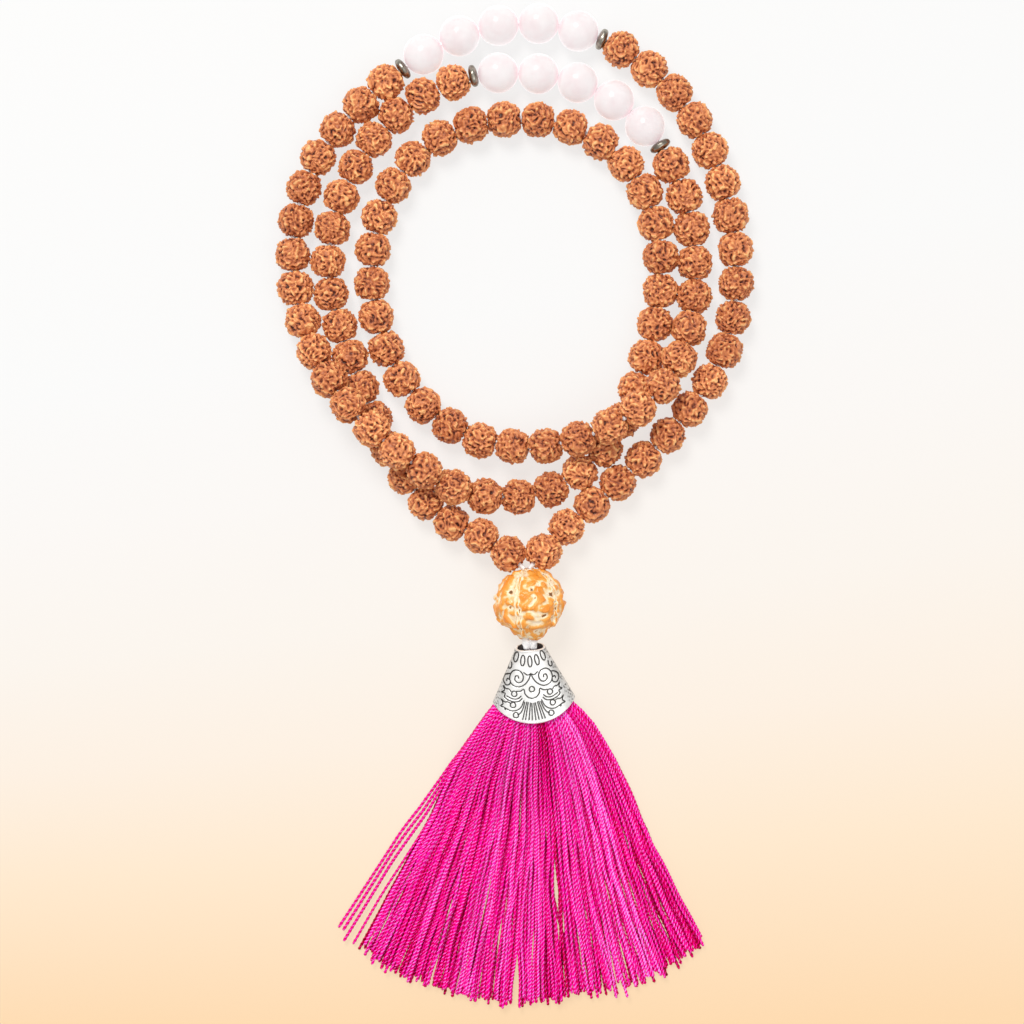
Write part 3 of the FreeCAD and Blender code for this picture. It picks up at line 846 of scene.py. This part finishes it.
def ornament():
    """Engraved lines, as (across, along) in mm from the neck: petals, scrolls, leaves and rays."""
    lines = [oval(0, 3.65, 0.5, 1.35), oval(0, 10.45, 0.66, 0.66)]
    half = [
        oval(1.75, 3.35, 0.5, 1.3, 9),
        oval(3.3, 2.45, 0.5, 1.25, 18),
        through((4.5, 3.9), (4.6, 4.8), (5.1, 5.3), (5.45, 4.9), (5.3, 4.3)),
        through((0.0, 6.6), (0.6, 8.0), (1.7, 9.2), (3.2, 9.75), (4.7, 9.2), (5.3, 7.9), (4.9, 6.4),
                (3.8, 5.6), (2.5, 6.0), (1.9, 7.2), (2.3, 8.4), (3.3, 8.7), (4.0, 8.0), (3.8, 7.1),
                (3.2, 7.1), (3.1, 7.6)),
        through((0.15, 6.7), (0.8, 6.95), (1.7, 6.3)),
        through((5.0, 6.5), (5.8, 6.6), (6.6, 7.2), (6.9, 8.2), (6.3, 9.2), (5.4, 9.0), (5.2, 8.2),
                (5.8, 7.7), (6.1, 8.2)),
        through((0, 12.75), (1.0, 12.4), (1.75, 11.5), (2.0, 10.4), (2.9, 10.8), (3.8, 10.8)),
        oval(4.45, 11.4, 0.66, 0.66),
        oval(4.95, 14.1, 0.66, 0.66),
        oval(4.4, 16.6, 0.66, 0.66),
        through((2.8, 12.0), (3.6, 12.6), (4.9, 12.6), (6.3, 11.9)),
        through((2.6, 12.6), (3.5, 13.3), (4.9, 13.3), (6.2, 12.8)),
        through((2.2, 13.2), (2.9, 14.6), (4.0, 15.4), (5.5, 15.5), (6.9, 14.8)),
        through((2.0, 13.6), (2.6, 15.2), (3.3, 16.2), (3.9, 16.5)),
        through((5.2, 10.8), (5.7, 10.2), (6.4, 10.1), (7.0, 9.5), (6.8, 10.5), (7.5, 11.0), (6.7, 11.3),
                (6.9, 12.1), (6.2, 12.8)),
        through((5.6, 13.6), (6.3, 13.3), (7.0, 13.3), (7.7, 12.7), (7.4, 13.7), (8.0, 14.3), (7.2, 14.6),
                (6.9, 15.2)),
    ]
    for start, end in ((0.25, 0.45), (0.6, 1.25), (1.15, 2.1), (1.5, 2.8)):
        half.append(np.array([(start, 14.0 - start * 0.3), (end, 18.1 - end * 0.12)]))
    both = lines + half + [line * (-1, 1) for line in half]
    return [line + (ORNAMENT_SHIFT, 0) for line in both]


def line_distance(places, lines, reach=0.8):
    """How far each place is from the nearest line, up to reach."""
    nearest = np.full(len(places), reach)
    for line in lines:
        low, high = line.min(0) - reach, line.max(0) + reach
        close = np.flatnonzero(((places > low) & (places < high)).all(1))
        a, step = line[:-1], np.diff(line, axis=0)
        length = np.maximum((step**2).sum(1), 1e-9)
        rest = places[close][:, None] - a[None]
        share = np.clip((rest * step).sum(2) / length, 0, 1)
        away = np.linalg.norm(rest - share[..., None] * step[None], axis=2).min(1)
        nearest[close] = np.minimum(nearest[close], away)
    return nearest


def cap_section(columns):
    """The cap's section of half width and depth 1: flatter faces than an ellipse has, evenly divided."""
    turn = np.linspace(0, 2 * math.pi, 4001)
    power = 2 / CAP_SQUARENESS
    across = np.sign(np.cos(turn)) * np.abs(np.cos(turn)) ** power
    up = np.sign(np.sin(turn)) * np.abs(np.sin(turn)) ** power
    steps = np.hypot(np.diff(across) * MOUTH_HALF[0], np.diff(up) * MOUTH_HALF[1])
    run = np.concatenate([[0], np.cumsum(steps)])
    even = np.linspace(0, run[-1], columns, endpoint=False)
    return np.interp(even, run, across), np.interp(even, run, up)


CAP_COLUMNS, CAP_ROWS, CAP_INNER_ROWS = 480, 176, 20
COLLAR_HEIGHT, COLLAR_WIDTH = 0.045, 0.55
SIDE_SHADE = 0.33  # how dark the painted shade at the cap's sides is
SPECKLES = 0.6


def make_cap(material):
    """A flattened silver cone, engraved outside, its neck cut at a slant and its rim curved."""
    columns, outer_rows, inner_rows = CAP_COLUMNS, CAP_ROWS, CAP_INNER_ROWS
    across, up = cap_section(columns)
    bend = np.linspace(0, math.pi, 7)[1:-1]
    share = np.concatenate(
        [np.linspace(0, 0.985, outer_rows), 0.985 + 0.015 * np.sin(bend),
         np.linspace(0.985, 0, inner_rows), -0.012 * np.sin(bend)]
    )
    inset = CAP_WALL * np.concatenate(
        [np.zeros(outer_rows), (1 - np.cos(bend)) / 2, np.ones(inner_rows), (1 + np.cos(bend)) / 2]
    )
    end = np.full(columns, CAP_LENGTH)
    for _ in range(30):
        width = np.abs(across) * (NECK_HALF[0] + (MOUTH_HALF[0] - NECK_HALF[0]) * end / CAP_LENGTH)
        end = CAP_LENGTH - RIM_RADIUS + np.sqrt(RIM_RADIUS**2 - np.minimum(width, 0.97 * RIM_RADIUS) ** 2)
    start = 0.25 + 0.45 * (1 + up)
    z = start[None, :] + share[:, None] * (end - start)[None, :]
    half_width = NECK_HALF[0] + (MOUTH_HALF[0] - NECK_HALF[0]) * z / CAP_LENGTH - inset[:, None]
    half_depth = NECK_HALF[1] + (MOUTH_HALF[1] - NECK_HALF[1]) * z / CAP_LENGTH - inset[:, None]
    from_neck = z - start[None, :]
    collar = 1 + COLLAR_HEIGHT * np.exp(-((from_neck / COLLAR_WIDTH) ** 2)) * (inset[:, None] < 0.1)
    x, y = half_width * across * collar, half_depth * up * collar
    outside = inset < 0.01
    places = np.stack([x[outside].ravel(), z[outside].ravel()], 1)
    away = line_distance(places, ornament()).reshape(outside.sum(), columns)
    engraved = np.zeros_like(z)
    engraved[outside] = 1 - smooth((away - LINE_HALF_WIDTH + 0.05) / 0.1)
    y = y - np.sign(up) * LINE_DEPTH * engraved
    grime_and_shade = np.where(inset[:, None] > 0.3, 0.85, 0.0)  # dark inside
    grime_and_shade = grime_and_shade + 0.35 * np.exp(-((from_neck / 0.3) ** 2)) * outside[:, None]
    speckles = waves(np.stack([x, y, z], -1).reshape(-1, 3), 5.5, 37, 24).reshape(z.shape)
    grime = smooth((speckles - 0.2) / 1.2)
    grime_and_shade = grime_and_shade + SPECKLES * grime * smooth((np.abs(across) - 0.74) / 0.22) * outside[:, None]
    # Painted shade: the cap's sides are made darker, as if turned away from the light.
    grime_and_shade = grime_and_shade + SIDE_SHADE * smooth((np.abs(across) - 0.55) / 0.42) * outside[:, None]
    uneven = 0.014 * waves(np.stack([x, y, z], -1).reshape(-1, 3), 0.7, 31).reshape(z.shape)
    y = y + np.sign(up) * uneven * smooth(np.abs(up) / 0.5) * outside[:, None]
    points = np.stack([x, y, z], -1).reshape(-1, 3) * MM
    faces = grid_faces(len(share), columns)
    last, column = (len(share) - 1) * columns, np.arange(columns)
    after = (column + 1) % columns
    faces = np.concatenate([faces, np.stack([last + column, last + after, after, column], -1)])
    neck, axes = cap_frame()
    # The engraved attribute carries the engraved lines together with the grime, the darker inside and neck
    # ring, and the painted shade on the sides.
    cap = mesh_object("engraved_cap", placed(points, axes, neck), faces, material,
                      engraved=np.clip(engraved + grime_and_shade, 0, 1).ravel())
    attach(cap, "tassel")
    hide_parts("tassel_cap")


# ---------------------------------------------------------------- the tassel

LOCKS = 7
THREADS_IN_LOCK = 45
THREAD_RADIUS = 0.37
THREAD_ROWS = 360
THREAD_START = 17.0  # from the fan's apex, mm
TWIST_LENGTH = 2.2  # of one turn of the plies, mm
THREAD_SIDES = 6
PLIES = 2
PLY_RELIEF = 0.16
FAN_LEAN = 4.1  # degrees right of -Y
APEX_BELOW_GURU = 4.5
# The tassel's two edges: distances from the fan's apex in mm, and degrees right of -Y there.
EDGE_REACH = (15, 22, 26, 30, 34, 41, 48, 55, 65, 80, 98)
LEFT_EDGE = (-17.5, -22.5, -25.0, -26.4, -27.2, -27.9, -27.6, -27.2, -27.4, -27.7, -28.0)
RIGHT_EDGE = (20.5, 26.5, 29.8, 31.3, 31.4, 31.2, 30.4, 29.6, 28.6, 28.2, 28.3)
# How far from the apex the threads end, by degrees.
TIP_DEGREES = (-32, -28.5, -24, -14, -4, 2, 8, 18, 24, 28.5)
TIP_REACH = (89.5, 92.3, 94.6, 95.2, 96.6, 95.8, 94.8, 95.2, 93.8, 91.8)
# Where the threads part: degrees, the distances where the gap opens and closes, and half width in mm.
PARTINGS = [(-2.2, 80, 130, 0.8), (5.4, 55, 82, 0.5), (-25.2, 70, 84, 0.35), (9.0, 82, 95, 0.3)]
# Threads that stray at the left edge: number, extra degrees, and the distance where each leaves the others.
STRAYS = [(0, 4.1, 29), (1, 3.3, 33), (2, 2.5, 37), (4, 1.5, 46)]
STRAY_NUMBERS = [stray[0] for stray in STRAYS]
STRAY_BEND = 36  # a stray bends away over this length, mm
WIGGLES = ((80, 0.42), (36, 0.18), (14, 0.08))  # wave lengths and sizes, mm
HEAP_HEIGHT = 2.7  # of the threads on the floor, in the middle
CLUMPS = 26  # bands of painted shade and painted light across the threads
HOLLOW_AT, HOLLOW_WIDTH, HOLLOW_SHADE = 0.56, 0.06, 0.35  # painted shade in a hollow between threads below the cap


def make_tassel(material):
    draw = np.random.default_rng(51)
    neck, axes = cap_frame()
    flat_way = np.array([math.sin(math.radians(FAN_LEAN)), -math.cos(math.radians(FAN_LEAN)), 0])
    apex = np.array(JOINTS["turn_guru_bead"]["pos_m"]) + flat_way * APEX_BELOW_GURU * MM
    count = LOCKS * THREADS_IN_LOCK
    share = (np.arange(count) + draw.uniform(-0.7, 0.7, count)) / (count - 1)
    share = np.sort(np.clip(share, 0, 1))
    layer = (np.arange(count) * 0.381966) % 1
    tip = np.interp(share, (0, 1), (LEFT_EDGE[-1], RIGHT_EDGE[-1]))
    length = np.interp(tip, TIP_DEGREES, TIP_REACH) + draw.normal(scale=0.9, size=count)
    length -= np.abs(draw.normal(scale=1.1, size=count)) * (draw.uniform(size=count) < 0.35)
    rows = THREAD_ROWS
    t = np.linspace(0, 1, rows)[None, :]
    reach = THREAD_START + (length[:, None] - THREAD_START) * t
    left, right = np.interp(reach, EDGE_REACH, LEFT_EDGE), np.interp(reach, EDGE_REACH, RIGHT_EDGE)
    degrees = left + (right - left) * share[:, None]
    for number, extra, leaves in STRAYS:
        degrees[number] -= extra * smooth((reach[number] - leaves) / STRAY_BEND)
    wiggle = np.zeros_like(reach)
    for wave_length, size in WIGGLES:
        phase = draw.uniform(0, 2 * math.pi, (count, 1))
        wiggle += size * draw.normal(size=(count, 1)) * np.sin(reach * 2 * math.pi / wave_length + phase)
    wiggle *= smooth((reach - 24) / 30)
    wiggle[STRAY_NUMBERS] = 0
    for at, opens, closes, half in PARTINGS:
        off = (degrees - at) * math.pi / 180 * reach + wiggle
        widest = np.abs(reach - (opens + min(closes, 98)) / 2).argmin(1)
        side = np.sign(off[np.arange(count), widest])[:, None]
        ease = min(14, (closes - opens) / 2)
        open_now = smooth((reach - opens) / ease) * smooth((closes - reach) / ease)
        away = np.maximum(off * side, 0)
        wiggle += side * open_now * (half * np.exp(-((away / 2.4) ** 2)) - np.minimum(off * side, 0))
    turn = np.radians(degrees) + wiggle / reach
    x = apex[0] / MM + reach * np.sin(turn)
    y = apex[1] / MM - reach * np.cos(turn)
    along = ((x - neck[0] / MM) * axes[2][0] + (y - neck[1] / MM) * axes[2][1]) / (1 - axes[2][2] ** 2)
    cap_height = neck[2] / MM + along * axes[2][2]
    room = NECK_HALF[1] + (MOUTH_HALF[1] - NECK_HALF[1]) * np.minimum(along / CAP_LENGTH, 1) - CAP_WALL
    room -= THREAD_RADIUS + 0.25
    side = (2 * share[:, None] - 1) * 0.95
    in_mouth = cap_height + (2 * layer[:, None] - 1) * room * np.sqrt(1 - side**2)
    heap = 1.0 - 0.4 * np.abs(2 * share[:, None] - 1)
    piled = THREAD_RADIUS + 0.06 + layer[:, None] * HEAP_HEIGHT * heap
    on_floor = piled + 0.1 * np.sin(reach / 5 + share[:, None] * 400)
    settled = smooth((reach - 25) / 34)
    z = np.maximum(in_mouth * (1 - settled) + on_floor * settled, THREAD_RADIUS + 0.05)
    paths = np.stack([x, y, z], -1) * MM
    sizes = THREAD_RADIUS * draw.uniform(0.92, 1.10, count)
    phases = draw.uniform(0, 2 * math.pi, count)
    # Threads lower in the heap are painted darker, as painted shade under the threads above; the rest is
    # random tone.
    tones = np.clip(draw.normal(0.50, 0.11, count) + 0.5 * (layer - 0.6), 0.05, 0.75)
    # Painted shade and light in bands across the fan.
    tones += np.interp(share, np.linspace(0, 1, CLUMPS), draw.normal(0, 0.09, CLUMPS))
    tones[STRAY_NUMBERS] = 0.6
    # Painted shade in the hollow between the middle threads below the cap's mouth.
    hollow = HOLLOW_SHADE * np.exp(-(((share[:, None] - HOLLOW_AT) / HOLLOW_WIDTH) ** 2))
    hollow = hollow * (1 - smooth((reach - 24) / 30))
    twists = 2 * math.pi / (TWIST_LENGTH * MM * draw.uniform(0.8, 1.3, count))
    ends = rounded_ends(rows, 2)
    # Painted highlights on the crests of the twisted plies, painted shade in their grooves.
    ply_light_and_shade = np.cos(PLIES * np.linspace(0, 2 * math.pi, THREAD_SIDES, endpoint=False))
    for lock in range(LOCKS):
        parts = []
        for k in range(lock * THREADS_IN_LOCK, (lock + 1) * THREADS_IN_LOCK):
            points, faces = tube(
                paths[k], sizes[k] * MM * ends, THREAD_SIDES, PLIES, PLY_RELIEF, twists[k], phases[k]
            )
            # The painted ply highlights and shade get a random strength on each row.
            ply = ply_light_and_shade * draw.uniform(0.0, 0.62, (rows, 1))
            # Painted shade on each thread's sides and underside, lighter on its top.
            up = (points[:, 2].reshape(rows, THREAD_SIDES) - paths[k][:, 2:]) / (sizes[k] * MM)
            lit = ply + 0.42 * (up - 0.65) - hollow[k][:, None]
            parts.append((points, faces, dict(tone=np.clip(tones[k] + lit.ravel(), 0, 1))))
        points, faces, attributes = join_parts(parts)
        piece = mesh_object(f"tassel_threads_{lock + 1}", points, faces, material, **attributes)
        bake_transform(piece)
        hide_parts(f"tassel_lock_{lock + 1}")
    for node in ("tassel_head", "tassel_tie"):
        NODES[node].data.materials.clear()
        NODES[node].data.materials.append(material)


# ---------------------------------------------------------------- the scene


def make_floor():
    bpy.ops.mesh.primitive_plane_add(size=6.0, location=(0, 0, 0))
    floor = bpy.context.object
    floor.name = "floor"
    floor.data.materials.append(floor_material())


make_camera()
make_light()
make_floor()
white = cord_material()
make_cord(white)
make_tail(white)
make_seeds(seed_material())
make_quartz(quartz_material())
make_spacers(spacer_material())
make_guru(guru_material())
make_cap(silver_material())
make_tassel(thread_material())
